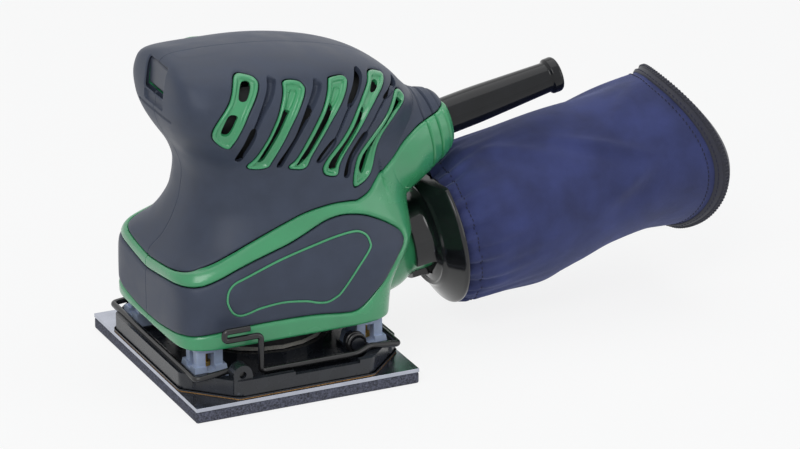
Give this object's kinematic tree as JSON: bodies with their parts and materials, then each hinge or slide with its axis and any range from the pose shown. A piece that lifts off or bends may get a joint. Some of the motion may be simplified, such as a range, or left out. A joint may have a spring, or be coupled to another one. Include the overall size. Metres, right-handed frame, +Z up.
{
  "type": "orbital sander",
  "caption": "Palm orbital sander with a square clamped-paper pad, waisted soft grip, vented motor housing, cord guard and a cloth dust bag on a rear outlet.",
  "frame": {"origin": "centre of the sanding pad's underside", "axes": "+Z up out of the pad, +X to the rear towards the dust bag and cord guard, -Y to the tool's left side"},
  "size_m": [0.2565, 0.112, 0.142],
  "materials": {
    "green_plastic": "satin moulded plastic",
    "grip_rubber": "soft overmoulding",
    "black_plastic": "moulded",
    "black_gloss": "gloss",
    "guard_rubber": "smooth rubber",
    "switch_black": "satin",
    "post_rubber": "moulded",
    "foam": "cellular",
    "gasket": "pressed cork",
    "felt": "felt",
    "bag_cloth": "plain weave",
    "binding": "tape",
    "steel": "ground",
    "dark_steel": "blackened wire",
    "core_steel": "laminated",
    "plate_aluminium": "rolled",
    "copper": "enamelled",
    "brass": "bright",
    "carbon": "pressed"
  },
  "bodies": {
    "housing": {"housing_left": "green_plastic", "housing_right": "green_plastic", "grip_left": "grip_rubber", "grip_right": "grip_rubber", "panel_left": "grip_rubber", "panel_right": "grip_rubber", "vent_frames_left": "green_plastic", "vent_frames_right": "green_plastic", "dust_outlet": "green_plastic", "housing_screws": "steel", "stator_core": "core_steel", "field_coils": "copper", "brush_holders": "brass", "carbon_brushes": "carbon", "top_bearing": "steel", "main_bearing": "steel", "fan_shroud": "black_plastic", "felt_ring": "felt", "switch_body": "black_plastic", "cord_guard": "guard_rubber"},
    "armature": {"motor_shaft": "steel", "armature_core": "core_steel", "armature_coils": "copper", "commutator": "copper", "balance_weight": "core_steel", "dust_fan": "black_plastic", "cooling_fan": "black_plastic"},
    "base": {"foam_pad": "foam", "backing_plate": "plate_aluminium", "base_gasket": "gasket", "base_frame": "black_plastic", "pad_bearing": "steel", "rubber_posts": "post_rubber", "post_screws": "brass", "clamp_springs": "dark_steel"},
    "switch": {"switch_rocker": "switch_black"},
    "front_clamp_wire": {"front_clamp": "dark_steel"},
    "rear_clamp_wire": {"rear_clamp": "dark_steel"},
    "bag": {"bag_adapter": "black_gloss", "dust_bag": "bag_cloth", "bag_binding": "binding", "bag_zip": "binding"},
    "slider": {"zip_slider": "steel"}
  },
  "joints": [
    {"name": "armature_spin", "type": "hinge", "parent": "housing", "child": "armature", "pos_m": [0, 0, 0.06], "axis": [0, 0, 1], "continuous": true},
    {"name": "base_orbit", "type": "hinge", "parent": "armature", "child": "base", "pos_m": [0.00075, 0, 0.0155], "axis": [0, 0, 1], "continuous": true},
    {"name": "switch_rock", "type": "hinge", "parent": "housing", "child": "switch", "pos_m": [-0.0364, 0, 0.1305], "axis": [0, 1, 0], "range_deg": [-10, 0]},
    {"name": "front_clamp_lift", "type": "hinge", "parent": "base", "child": "front_clamp_wire", "pos_m": [-0.028, 0, 0.0166], "axis": [0, 1, 0], "range_deg": [0, 5.4], "stiffness_Nm_per_rad": 0.6, "springref_deg": -8.59},
    {"name": "rear_clamp_lift", "type": "hinge", "parent": "base", "child": "rear_clamp_wire", "pos_m": [0.028, 0, 0.0166], "axis": [0, -1, 0], "range_deg": [0, 5.4], "stiffness_Nm_per_rad": 0.6, "springref_deg": -8.59},
    {"name": "bag_pull", "type": "slide", "parent": "housing", "child": "bag", "axis": [0.9886, 0, 0.1504], "range_m": [0, 0.03]},
    {"name": "zip_run", "type": "hinge", "parent": "bag", "child": "slider", "pos_m": [0.0822, 0, 0.0436], "axis": [0.9886, 0, 0.1504], "range_deg": [0, 150]}
  ],
  "couplings": [
    {"joint": "base_orbit", "follows": "armature_spin", "ratio": -1}
  ]
}
